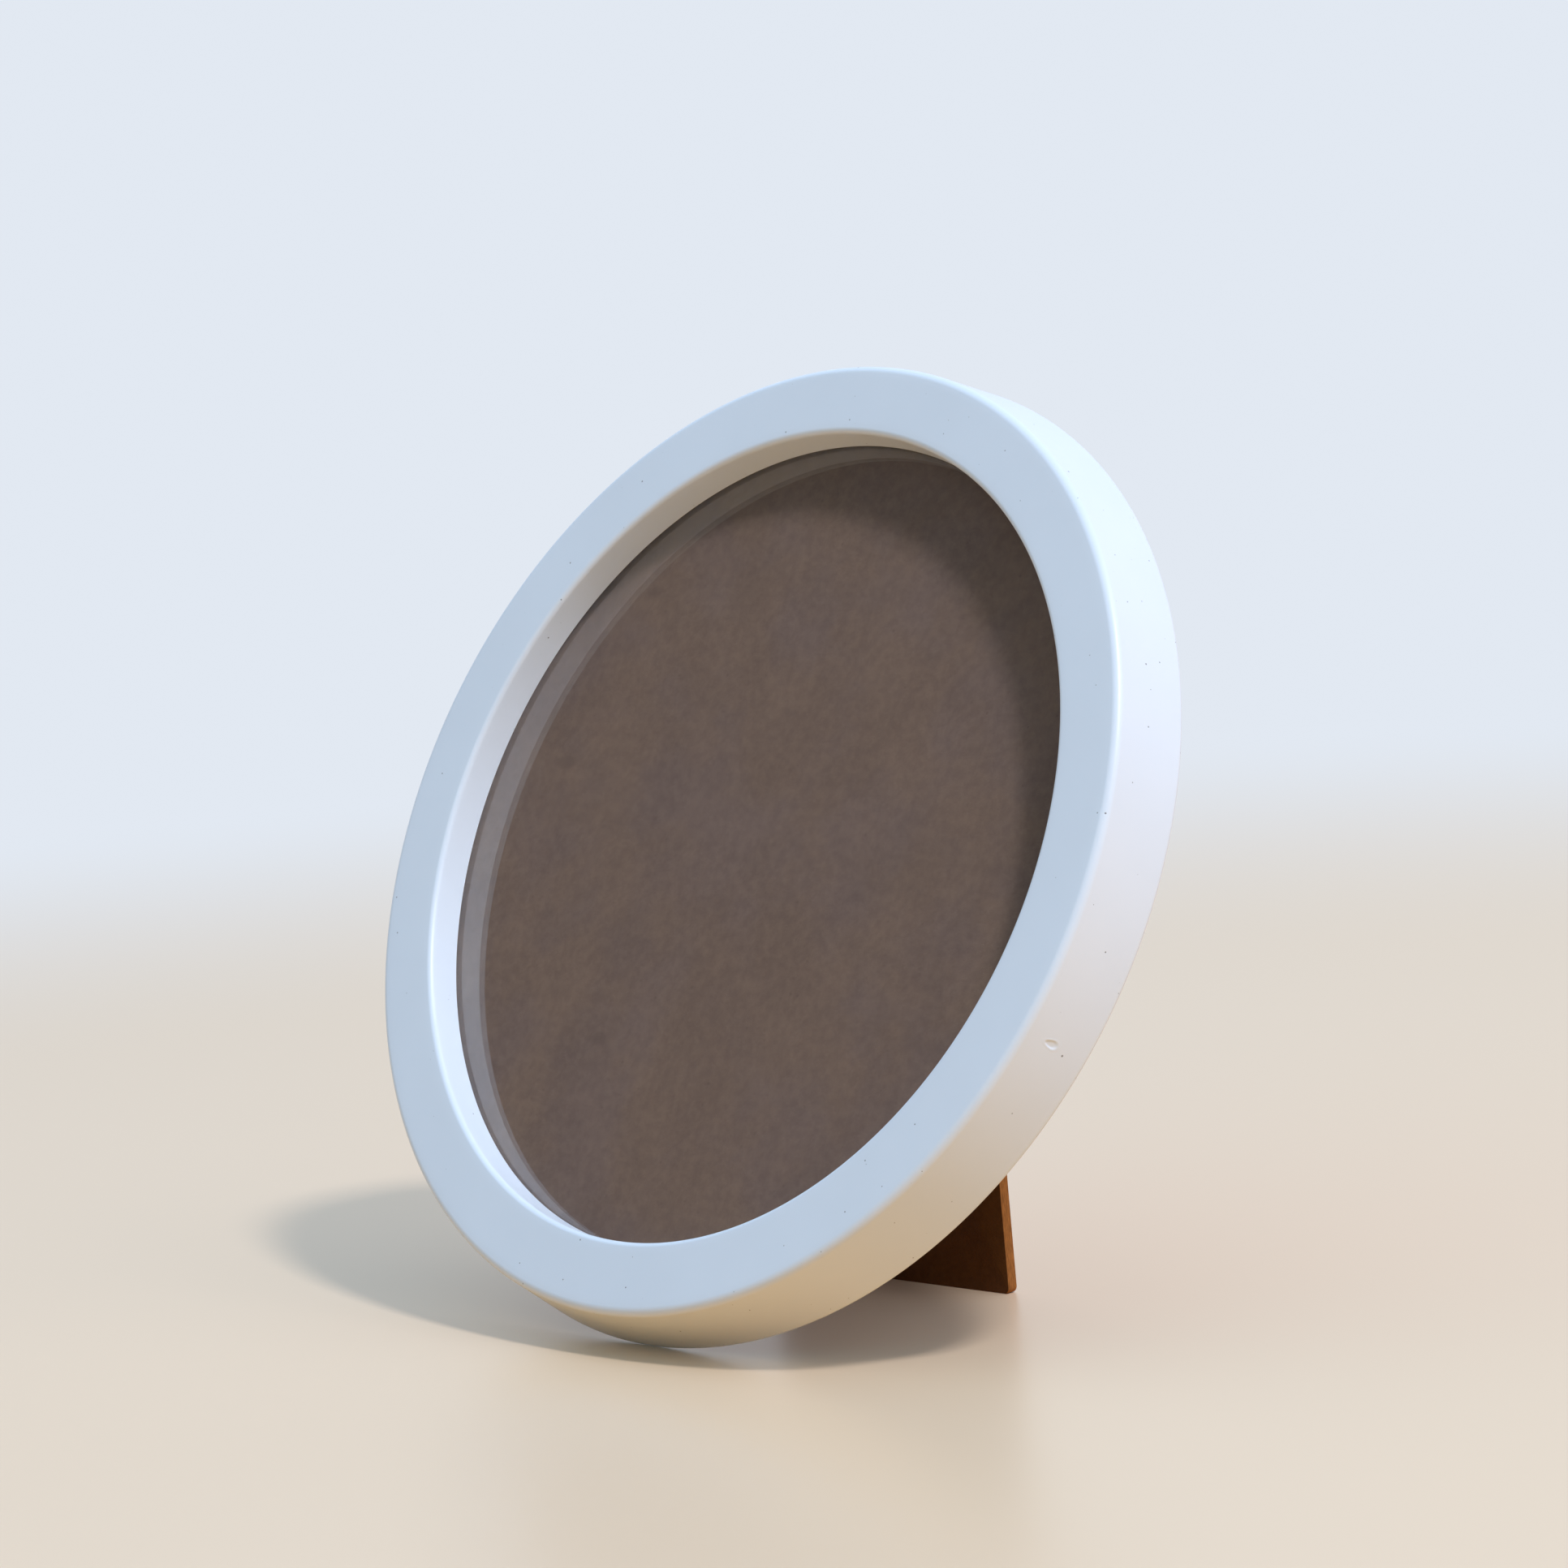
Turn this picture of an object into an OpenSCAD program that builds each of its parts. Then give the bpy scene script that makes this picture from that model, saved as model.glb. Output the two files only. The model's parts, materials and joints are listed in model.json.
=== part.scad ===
// Round desk photo frame: a turned ring with a flared outer wall, a pane of glass and a
// hardboard back held by turn buttons, and a hinged strut that the frame leans on.
// It stands on the lowest point of its back rim and on the foot of the strut.
// Millimetres. X runs across the frame, +Y towards the back, +Z up, table at z = 0.

/* [Ring] */
// Diameter of the clear opening
opening_d = 170.6; // [140:0.2:260]
// Width of the flat front band, from the opening to the outer edge
border_w = 14.9; // [13:0.1:30]
// How much further out the back rim stands than the front edge
flare = 2.3; // [0:0.1:5]
// Depth of the ring, front to back
ring_depth = 16.5; // [16.5:0.1:30]
// Depth from the front band to the glass
recess = 7.5; // [4:0.1:7.6]
// Width of the lip that the glass seats on
seat_w = 4.2; // [2.5:0.1:5.5]
// Thickness of the outer skirt behind the ledge
skirt_t = 4.3; // [3:0.1:5.4]
// Rounding of the front outer edge
outer_round = 1.8; // [0.3:0.1:2.5]
// Rounding of the front inner edge
inner_round = 1.2; // [0.2:0.1:1.8]
// Rounding of the back rim
rim_round = 0.8; // [0.2:0.1:1.5]
// Chamfer inside the back rim
skirt_chamfer = 0.5; // [0.2:0.1:1]

/* [Glass and back] */
// Thickness of the glass
glass_t = 2; // [1.5:0.1:2.2]
// Arris ground off the edge of the glass
glass_arris = 0.3; // [0.1:0.1:0.6]
// Thickness of the hardboard back
board_t = 2.5; // [2:0.1:2.8]
// Clearance round the glass and the back, on the radius
pane_gap = 0.5; // [0.2:0.1:1]
// How far the back stays below the ledge
ledge_gap = 0.1; // [0.05:0.05:0.3]

/* [Strut] */
// Distance of the hinge line below the top of the back
hinge_drop = 35.5; // [26:0.5:50]
// Distance of the folded strut's foot inside the bottom of the rim
foot_inset = 15.6; // [13:0.1:24]
// Angle of the open strut from the back
open_angle = 26.8; // [20:0.1:34]
// Thickness of the strut
strut_t = 2.5; // [2:0.1:2.8]
// Width of the strut at its foot
foot_w = 68; // [40:1:72]
// Width of the strut at its top
strut_top_w = 64; // [50:1:70]
// Corner radius at the top of the strut
strut_corner = 7; // [1:0.5:12]
// Corner radius at the foot of the strut
foot_corner = 1.2; // [0.4:0.1:3]

/* [Hinge] */
// Width of the hinge
hinge_w = 44; // [38:1:48]
// Thickness of the hinge sheet
leaf_t = 0.7; // [0.5:0.05:0.8]
// Radius of the hinge pin
pin_r = 1.15; // [1:0.05:1.3]
// Running clearance between pin and knuckle, on the radius
pin_gap = 0.05; // [0.02:0.01:0.08]
// Side clearance between knuckles
knuckle_gap = 0.3; // [0.2:0.05:0.5]
// Length of each outer knuckle
outer_knuckle = 7; // [5:0.5:8]
// Length of each inner knuckle
inner_knuckle = 6; // [5:0.5:7]
// Height of the leaf on the back
board_leaf_h = 17; // [15:0.5:22]
// Height of the leaf on the strut
strut_leaf_h = 20; // [17:0.5:30]
// Amount by which each leaf narrows on each side, away from the pin
leaf_taper = 4; // [1:0.5:8]
// Corner radius of the leaves
leaf_corner = 3; // [1:0.5:4]
// Radius and thickness of the peened pin ends
pin_head = [1.6, 0.6];
// Gap between the stop tab and the leaf that it rests on
stop_gap = 0.05; // [0.02:0.01:0.15]

/* [Rivets] */
// Radius of a rivet's shank
rivet_r = 1; // [0.8:0.05:1.2]
// Radius of a rivet's head
rivet_head_r = 2.3; // [2:0.1:2.6]
// Height of a rivet's head
rivet_head_h = 0.6; // [0.4:0.05:0.7]
// Radius of the clinched end
clinch_r = 1.9; // [1.6:0.1:2.2]
// Height of the clinched end
clinch_h = 0.4; // [0.2:0.05:0.5]
// Hardboard left in front of the rivets in the back
blind_skin = 0.4; // [0.3:0.1:0.8]
// Clearance of a rivet or screw in its hole, on the radius
hole_gap = 0.05; // [0.02:0.01:0.1]
// Distance of the rivet row from the free edge of its leaf
rivet_edge = 5; // [4:0.5:7]
// Spacing of the outer rivets, left to right
rivet_span = 26; // [20:1:28]

/* [Turn buttons] */
// Number of turn buttons
button_n = 4; // [4]
// Thickness of a turn button
button_t = 0.8; // [0.6:0.1:1]
// Reach of a turn button, from its screw to its nose
button_reach = 12; // [9:0.5:14]
// Clearance from a turn button's round end to the edges of the ledge
button_side = 0.75; // [0.5:0.05:1.2]
// How much narrower the nose is than the round end, on the radius
nose_narrow = 1; // [0.4:0.1:1.5]
// Height of the raised boss round the screw
boss_h = 0.3; // [0.2:0.1:0.5]
// Radius of the pressed rib
rib_r = 0.5; // [0.3:0.1:0.6]
// Clearance under and over a turn button
button_gap = 0.05; // [0.02:0.01:0.1]
// Radius of the screw's shank
screw_r = 1.25; // [1:0.05:1.5]
// Radius of the screw's head
screw_head_r = 2.6; // [2.3:0.1:3]
// Height of the screw's head
screw_head_h = 1.4; // [1:0.1:1.8]
// Length of the screw in the ring
screw_bite = 6; // [4:0.5:8]
// Width and depth of the screw's cross recess
recess_cut = [0.6, 0.7];

/* [Hidden] */
$fn = 96;
eps = 0.01;
white = "#E9EEF3";
board_brown = "#62564F";
strut_brown = "#4A2F1C";
steel = "#B4B7BA";

// Radii of the ring
open_r = opening_d / 2;
face_r = open_r + border_w;
rim_r = face_r + flare;
wall_r = open_r + seat_w;
skirt_r = rim_r - skirt_t;
pane_r = wall_r - pane_gap;

// Depths behind the front band
board_front = recess + glass_t;
board_back = board_front + board_t;
ledge_at = board_back + ledge_gap;

// The hinge, its pin line and its strut
bore_r = pin_r + pin_gap;
knuckle_r = bore_r + leaf_t;
leaf_in = knuckle_r - leaf_t;
hinge_y = pane_r - hinge_drop;
hinge_at = board_back + knuckle_r;
knuckle_clear = knuckle_r + 0.5;
strut_front = strut_t - leaf_in;
strut_len = hinge_y + rim_r - foot_inset;
strut_start = knuckle_clear + 0.3;
inner_from = hinge_w / 2 - outer_knuckle - knuckle_gap;
tab_half = inner_from - inner_knuckle;
// The stop tab's tip meets the other leaf at the open angle
tab_len = (leaf_in * cos(open_angle) + leaf_in - stop_gap) / sin(open_angle);

// The lean of the frame: the strut's front foot edge and the back rim's rounding touch the table
foot_y = hinge_y - strut_len * cos(open_angle) - strut_front * sin(open_angle);
foot_at = hinge_at + strut_len * sin(open_angle) - strut_front * cos(open_angle);
reach_y = foot_y + rim_r - rim_round;
reach_at = foot_at - ring_depth + rim_round;
lean = acos(-rim_round / norm([reach_y, reach_at])) - atan2(reach_at, reach_y);

// The turn buttons on the middle of the ledge
ledge_w = skirt_r - wall_r;
button_circle = (skirt_r + wall_r) / 2;
button_r = ledge_w / 2 - button_side;
nose_r = button_r - nose_narrow;
boss_r = min(screw_head_r + 0.3, button_r - 0.1);

function arc(c, r, a0, a1, n = 6) =
    [for (i = [0:n]) c + r * [cos(a0 + (a1 - a0) * i / n), sin(a0 + (a1 - a0) * i / n)]];

// Section of the ring, radius against height, front band at height 0
function ring_section() = concat(
    arc([open_r + inner_round, -inner_round], inner_round, 180, 90),
    arc([face_r - outer_round, -outer_round], outer_round, 90, 0),
    arc([rim_r - rim_round, -ring_depth + rim_round], rim_round, 0, -90, 8),
    [
        [skirt_r + skirt_chamfer, -ring_depth],
        [skirt_r, -ring_depth + skirt_chamfer],
        [skirt_r, -ledge_at],
        [wall_r, -ledge_at],
        [wall_r, -recess],
        [open_r, -recess]
    ]);

// Seat of the leaning frame: the origin is below the middle of its outline
section = ring_section();
stand_z = max([for (p = section) p[0] * cos(lean) - p[1] * sin(lean)]);
front_y = min([for (p = section) -p[0] * sin(lean) - p[1] * cos(lean)]);
rear_y = max([for (p = section) p[0] * sin(lean) - p[1] * cos(lean)]);
stand_y = -(front_y + rear_y) / 2;

// One rounded corner of an outline, at b between a and c
function corner(a, b, c, r, n = 6) =
    let (u = (a - b) / norm(a - b), v = (c - b) / norm(c - b),
         half = acos(u * v) / 2, w = (u + v) / norm(u + v),
         m = b + w * r / sin(half), p = b + u * r / tan(half), q = b + v * r / tan(half),
         s = atan2(p[1] - m[1], p[0] - m[0]), e = atan2(q[1] - m[1], q[0] - m[0]),
         turn = e - s > 180 ? e - s - 360 : e - s < -180 ? e - s + 360 : e - s)
    [for (i = [0:n]) m + r * [cos(s + turn * i / n), sin(s + turn * i / n)]];

function rounded(pts, radii) =
    let (k = len(pts))
    [for (i = [0:k - 1])
        each (radii[i] > 0 ? corner(pts[(i + k - 1) % k], pts[i], pts[(i + 1) % k], radii[i])
                           : [pts[i]])];

// Places what lies in the ring's own plane, front band at z = 0, where it leans
module leaning() {
    translate([0, stand_y, stand_z]) rotate([90 - lean, 0, 0]) children();
}

// Places what turns about the hinge pin, given as folded against the back
module on_strut() {
    leaning() translate([0, hinge_y, -hinge_at]) rotate([open_angle, 0, 0]) children();
}

module at_pin() {
    leaning() translate([0, hinge_y, -hinge_at]) children();
}

module button_place(i) {
    leaning() rotate(45 + i * 360 / button_n) translate([button_circle, 0, -ledge_at - button_gap])
        children();
}

// A tube along X, from x0 to x1
module knuckle(x0, x1) {
    translate([x0, 0, 0]) rotate([0, 90, 0]) cylinder(r = knuckle_r, h = x1 - x0);
}

module pin_bore() {
    translate([-hinge_w, 0, 0]) rotate([0, 90, 0]) cylinder(r = bore_r, h = 2 * hinge_w);
}

// Both sides of the middle
module both_sides() {
    children();
    mirror([1, 0, 0]) children();
}

// Rivet places along a row: two at the sides, and one nearer the pin in the middle
function rivet_spots(edge, inward) =
    [[-rivet_span / 2, edge], [0, edge + inward], [rivet_span / 2, edge]];

board_spots = rivet_spots(board_leaf_h - rivet_edge, 0);
strut_spots = rivet_spots(-(strut_leaf_h - rivet_edge), -0);

module ring_frame() {
    color(white) difference() {
        leaning() rotate_extrude($fn = 180) polygon(section);
        for (i = [0:button_n - 1])
            button_place(i) translate([0, 0, -button_gap])
                cylinder(r = screw_r + hole_gap, h = screw_bite + 2 * button_gap + 0.5, $fn = 32);
    }
}

module glass_pane() {
    color("#C7D5DA", 0.35) leaning() rotate_extrude($fn = 180) polygon([
        [0, -recess],
        [pane_r - glass_arris, -recess],
        [pane_r, -recess - glass_arris],
        [pane_r, -board_front + glass_arris],
        [pane_r - glass_arris, -board_front],
        [0, -board_front]
    ]);
}

module backing_board() {
    color(board_brown) leaning() difference() {
        translate([0, 0, -board_back]) cylinder(r = pane_r, h = board_t, $fn = 180);
        for (p = board_spots)
            translate([p[0], hinge_y + p[1], -board_back - 1])
                cylinder(r = rivet_r + hole_gap, h = board_t - blind_skin + 1, $fn = 32);
    }
}

// The leaf on the back, with the two outer knuckles
module hinge_board_leaf() {
    w = hinge_w / 2;
    color(steel) at_pin() difference() {
        union() {
            translate([0, 0, leaf_in]) linear_extrude(leaf_t) polygon(rounded([
                [-w, 0], [w, 0], [w, knuckle_clear],
                [w - leaf_taper, board_leaf_h], [-w + leaf_taper, board_leaf_h], [-w, knuckle_clear]
            ], [0, 0, 0, leaf_corner, leaf_corner, 0]));
            both_sides() knuckle(w - outer_knuckle, w);
        }
        translate([-inner_from - knuckle_gap, -knuckle_clear, -knuckle_clear])
            cube([2 * (inner_from + knuckle_gap), 2 * knuckle_clear, 2 * knuckle_clear]);
        pin_bore();
        for (p = board_spots) translate([p[0], p[1], 0])
            cylinder(r = rivet_r + hole_gap, h = knuckle_r + 1, $fn = 32);
    }
}

// The leaf on the strut, with the two inner knuckles and the stop tab between them
module hinge_strut_leaf() {
    w = hinge_w / 2;
    color(steel) on_strut() difference() {
        union() {
            translate([0, 0, -knuckle_r]) linear_extrude(leaf_t) polygon(rounded([
                [w, -knuckle_clear], [w - leaf_taper, -strut_leaf_h],
                [-w + leaf_taper, -strut_leaf_h], [-w, -knuckle_clear],
                [-inner_from, -knuckle_clear], [-inner_from, 0],
                [-tab_half, 0], [-tab_half + knuckle_gap, knuckle_gap],
                [-tab_half + knuckle_gap, tab_len], [tab_half - knuckle_gap, tab_len],
                [tab_half - knuckle_gap, knuckle_gap], [tab_half, 0],
                [inner_from, 0], [inner_from, -knuckle_clear]
            ], [0, leaf_corner, leaf_corner, 0, 0, 0, 0, 0, 1, 1, 0, 0, 0, 0]));
            both_sides() knuckle(tab_half, inner_from);
        }
        pin_bore();
        for (p = strut_spots) translate([p[0], p[1], -knuckle_r - 1])
            cylinder(r = rivet_r + hole_gap, h = leaf_t + 2, $fn = 32);
    }
}

module hinge_pin() {
    color(steel) at_pin() both_sides() rotate([0, 90, 0]) {
        cylinder(r = pin_r, h = hinge_w / 2 + hole_gap);
        translate([0, 0, hinge_w / 2 + hole_gap]) cylinder(
            r1 = pin_head[0], r2 = pin_head[0] - 0.3, h = pin_head[1]);
    }
}

// A rivet seen from its head, which stands up from z = 0; the shank runs down
module rivet(grip, clinched) {
    rotate_extrude($fn = 32) polygon(concat(
        [[0, clinched ? -grip - clinch_h : -grip]],
        clinched ? [[clinch_r - 0.3, -grip - clinch_h], [clinch_r, -grip], [rivet_r, -grip]]
                 : [[rivet_r, -grip]],
        [[rivet_r, 0], [rivet_head_r, 0]],
        [for (a = [30:20:90]) [rivet_head_r * cos(a - 15), rivet_head_h * sin(a)]],
        [[0, rivet_head_h]]));
}

module board_rivets() {
    color(steel) at_pin() for (p = board_spots)
        translate([p[0], p[1], leaf_in]) rotate([180, 0, 0])
            rivet(leaf_t + board_t - blind_skin - hole_gap, false);
}

module strut_rivets() {
    color(steel) on_strut() for (p = strut_spots)
        translate([p[0], p[1], -knuckle_r]) rotate([180, 0, 0]) rivet(leaf_t + strut_t, true);
}

// The strut: a tapered hardboard plate whose foot is cut to lie flat on the table
module strut() {
    off_square = strut_t * tan(open_angle - lean);
    low = max(strut_len, strut_len + off_square);
    color(strut_brown) on_strut() difference() {
        intersection() {
            translate([0, 0, -leaf_in]) linear_extrude(strut_t) polygon(rounded([
                [-foot_w / 2, -low], [foot_w / 2, -low],
                [strut_top_w / 2, -strut_start], [-strut_top_w / 2, -strut_start]
            ], [foot_corner, foot_corner, strut_corner, strut_corner]));
            rotate([90, 0, 90]) translate([0, 0, -foot_w]) linear_extrude(2 * foot_w) polygon([
                [-strut_len, strut_front], [0, strut_front],
                [0, -leaf_in], [-strut_len - off_square, -leaf_in]
            ]);
        }
        for (p = strut_spots) translate([p[0], p[1], -leaf_in - 1])
            cylinder(r = rivet_r + hole_gap, h = strut_t + 2, $fn = 32);
    }
}

// A turn button: pear-shaped plate with a boss round its screw and a pressed rib
module turn_button(i) {
    nose_x = -(button_reach - nose_r);
    tilt = asin((button_r - nose_r) / -nose_x);
    color(steel) button_place(i) difference() {
        union() {
            translate([0, 0, -button_t]) {
                cylinder(r = button_r, h = button_t, $fn = 64);
                translate([nose_x, 0, 0]) cylinder(r = nose_r, h = button_t, $fn = 64);
                linear_extrude(button_t) polygon([
                    button_r * [-sin(tilt), cos(tilt)], [0, 0], button_r * [-sin(tilt), -cos(tilt)],
                    [nose_x, 0] + nose_r * [-sin(tilt), -cos(tilt)],
                    [nose_x, 0] + nose_r * [-sin(tilt), cos(tilt)]
                ]);
            }
            translate([0, 0, -button_t - boss_h]) cylinder(r = boss_r, h = boss_h + 0.1, $fn = 64);
            translate([nose_x, 0, -button_t]) rotate([0, 90, 0])
                cylinder(r = rib_r, h = -nose_x - boss_r + 0.2, $fn = 24);
        }
        translate([0, 0, -5]) cylinder(r = screw_r + hole_gap, h = 10, $fn = 32);
    }
}

module turn_button_1() turn_button(0);
module turn_button_2() turn_button(1);
module turn_button_3() turn_button(2);
module turn_button_4() turn_button(3);

module turn_button_screws() {
    seat = button_t + boss_h + button_gap;
    color(steel) for (i = [0:button_n - 1]) button_place(i) difference() {
        rotate_extrude($fn = 32) polygon(concat(
            [[0, screw_bite], [screw_r, screw_bite - screw_r], [screw_r, -seat],
             [screw_head_r, -seat], [screw_head_r, -seat - 0.3 * screw_head_h]],
            [for (a = [20:17.5:90]) [screw_head_r * cos(a),
                -seat - screw_head_h * (0.3 + 0.7 * sin(a))]],
            [[0, -seat - screw_head_h]]));
        for (a = [0, 90]) rotate(a + 20 * i)
            translate([-screw_head_r * 0.55, -recess_cut[0] / 2, -seat - screw_head_h - 1])
                cube([screw_head_r * 1.1, recess_cut[0], recess_cut[1] + 1]);
    }
}

ring_frame();
glass_pane();
backing_board();
hinge_board_leaf();
board_rivets();
hinge_pin();
hinge_strut_leaf();
strut_rivets();
strut();
turn_button_1();
turn_button_2();
turn_button_3();
turn_button_4();
turn_button_screws();
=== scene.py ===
"""Round desk photo frame: a white ring, glass, a brown hardboard back and a hinged strut."""

import json
import math

import bmesh
import bpy
import numpy as np
from bpy.props import FloatProperty, FloatVectorProperty, PointerProperty
from mathutils import Matrix, Vector


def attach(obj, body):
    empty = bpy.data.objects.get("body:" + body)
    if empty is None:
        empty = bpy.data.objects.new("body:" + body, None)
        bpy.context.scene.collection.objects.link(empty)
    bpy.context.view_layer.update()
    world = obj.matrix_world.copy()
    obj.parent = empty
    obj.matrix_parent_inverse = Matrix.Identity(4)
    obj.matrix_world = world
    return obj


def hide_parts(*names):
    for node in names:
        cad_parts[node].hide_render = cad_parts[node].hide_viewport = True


bl_info = {
    "name": "Round photo frame",
    "version": (1, 0, 0),
    "blender": (4, 5, 0),
    "location": "View3D > Sidebar > Photo frame",
    "description": "Builds a round desk photo frame with its glass, back, strut and fittings",
    "category": "Object",
}

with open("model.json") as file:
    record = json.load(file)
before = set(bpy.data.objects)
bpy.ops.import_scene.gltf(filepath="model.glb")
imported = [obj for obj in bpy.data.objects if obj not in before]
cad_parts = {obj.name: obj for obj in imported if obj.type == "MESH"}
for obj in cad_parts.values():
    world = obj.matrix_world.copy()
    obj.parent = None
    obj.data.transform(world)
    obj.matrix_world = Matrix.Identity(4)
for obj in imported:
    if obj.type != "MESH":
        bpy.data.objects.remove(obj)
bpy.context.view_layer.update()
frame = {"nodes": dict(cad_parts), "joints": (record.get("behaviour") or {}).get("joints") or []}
MM = 0.001

# The frame leans on its strut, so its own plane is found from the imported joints:
# the turn buttons' axis runs from the front band to the back rim, and the middle of
# their screws lies on the ring's axis at the ledge.
JOINTS = {joint["name"]: joint for joint in frame["joints"]}
BUTTONS = sorted(name for name in JOINTS if name.startswith("turn_button"))
TO_BACK = np.array(JOINTS[BUTTONS[0]]["axis"], float)
ACROSS = np.array([1.0, 0.0, 0.0])
UPWARD = np.cross(ACROSS, TO_BACK)
LEDGE_DEPTH = 12.1 * MM
MIDDLE = (
    np.mean([JOINTS[name]["pos_m"] for name in BUTTONS], axis=0)
    - LEDGE_DEPTH * TO_BACK
)
LEAN = math.atan2(-TO_BACK[2], TO_BACK[1])
PIN = np.array(JOINTS["strut_hinge"]["pos_m"], float)
# The strut stands open at rest; folded flat it has turned by this angle
OPEN_ANGLE = math.radians(JOINTS["strut_hinge"]["range_deg"][1])
# A small dent in the outer wall, by its angle and depth, and a dark nick beside it
DENT_ANGLE, DENT_DEPTH = math.radians(-21.58), 7.1 * MM
NICK = (94.2 * MM, -38.4 * MM, -10.6 * MM)
# The camera's place and axes, and the direction of the room's dim corner
CAMERA_PLACE = Vector((0.707225, -0.667753, 0.206369))
CAMERA_RIGHT = Vector((0.69474, 0.71511, -0.07720))
CAMERA_UP = Vector((-0.02015, 0.12667, 0.99174))
DIM_CORNER = Vector((-0.72, -0.55, 0.42))
LAMP_AIM = Vector((0.0, 0.0, 0.09))


# Sizes, finishes and the studio


def length(name, description, millimetres):
    """A size in metres, shown with its unit."""
    return FloatProperty(
        name=name,
        description=description,
        default=millimetres * MM,
        min=0.0,
        subtype="DISTANCE",
        unit="LENGTH",
        precision=5,
    )


def share(name, description, value):
    """A share from 0 to 1."""
    return FloatProperty(
        name=name,
        description=description,
        default=value,
        min=0.0,
        max=1.0,
        subtype="FACTOR",
    )


def colour(name, description, value):
    """A linear colour."""
    return FloatVectorProperty(
        name=name,
        description=description,
        default=value,
        size=3,
        min=0.0,
        max=1.0,
        subtype="COLOR",
    )


class RingSettings(bpy.types.PropertyGroup):
    """Section and paint of the ring."""

    opening: length("Opening radius", "Radius of the clear opening", 85.3)
    seat: length("Seat radius", "Radius of the rabbet round the glass", 89.5)
    skirt: length("Skirt radius", "Inner radius of the skirt behind the ledge", 98.2)
    face: length("Band radius", "Outer radius of the flat front band", 100.2)
    rim: length("Rim radius", "Outer radius of the back rim", 102.5)
    depth: length("Depth", "Depth of the ring, front to back", 16.5)
    recess: length("Recess", "Depth from the front band to the glass", 7.5)
    outer_round: length("Outer rounding", "Rounding of the front outer edge", 1.8)
    inner_round: length("Inner rounding", "Rounding of the front inner edge", 1.2)
    rim_round: length("Rim rounding", "Rounding of the back rim", 0.8)
    skirt_chamfer: length("Skirt chamfer", "Chamfer inside the back rim", 0.5)
    dent_length: length("Dent length", "Half length of the dent in the wall", 1.55)
    dent_width: length("Dent width", "Half width of the dent in the wall", 0.8)
    dent_depth: length("Dent depth", "Depth of the dent in the wall", 0.22)
    paint: colour("Paint", "White lacquer", (0.770, 0.808, 0.890))
    bare: colour("Bare board", "Unpainted fibreboard inside the rabbet", (0.42, 0.31, 0.20))
    speck: colour("Specks", "Dark specks in the lacquer", (0.09, 0.06, 0.045))
    gloss: share("Roughness", "Roughness of the satin lacquer", 0.34)


class GlassSettings(bpy.types.PropertyGroup):
    """Size and look of the glass."""

    radius: length("Radius", "Radius of the glass", 89.0)
    front: length("Front", "Depth of its front face behind the band", 7.5)
    thickness: length("Thickness", "Thickness of the glass", 1.95)
    arris: length("Arris", "Bevel ground off its edge", 0.3)
    tint: colour("Tint", "Tint of float glass", (0.955, 0.975, 0.965))
    index: FloatProperty(
        name="Index", description="Index of refraction of the glass", default=1.7, min=1.0
    )
    clear: share("Shadow", "Light that the glass lets through in shadows", 0.9)


class BoardSettings(bpy.types.PropertyGroup):
    """Looks of the hardboard back and strut."""

    back: colour("Back", "Smooth face of the back", (0.239, 0.156, 0.119))
    back_dark: colour("Back, dark", "Dark fibres of the back", (0.156, 0.098, 0.079))
    strut: colour("Strut", "Face of the strut", (0.124, 0.046, 0.0085))
    strut_dark: colour("Strut, dark", "Dark fibres of the strut", (0.070, 0.024, 0.004))
    cut: colour("Cut edge", "Cut edge of the hardboard", (0.40, 0.153, 0.037))
    back_front: length("Back front", "Depth of the back's face behind the band", 9.5)
    back_thickness: length("Back thickness", "Thickness of the back", 2.5)
    strut_thickness: length("Strut thickness", "Thickness of the strut", 2.5)
    foot_width: length("Foot width", "Width of the strut at its foot", 68.0)
    top_width: length("Top width", "Width of the strut at its top", 64.0)
    top_round: length("Top rounding", "Corner radius at the top", 7.0)
    foot_round: length("Foot rounding", "Corner radius at the foot", 1.2)
    edge_round: length("Edge rounding", "Softening of the strut's edges", 0.18)


class MetalSettings(bpy.types.PropertyGroup):
    """Looks of the hinge, rivets, turn buttons and screws."""

    sheet: colour("Sheet", "Plated hinge sheet", (0.56, 0.56, 0.545))
    sheet_dull: colour("Dull sheet", "Dull areas of the sheet", (0.42, 0.415, 0.40))
    button: colour("Turn buttons", "Plated turn buttons", (0.60, 0.585, 0.54))
    screw: colour("Screws", "Plated screws and rivets", (0.64, 0.635, 0.61))
    soot: colour("Recess", "Dirt in corners", (0.16, 0.155, 0.15))
    bevel: length("Edge break", "Rounding of stamped edges", 0.09)


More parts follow.
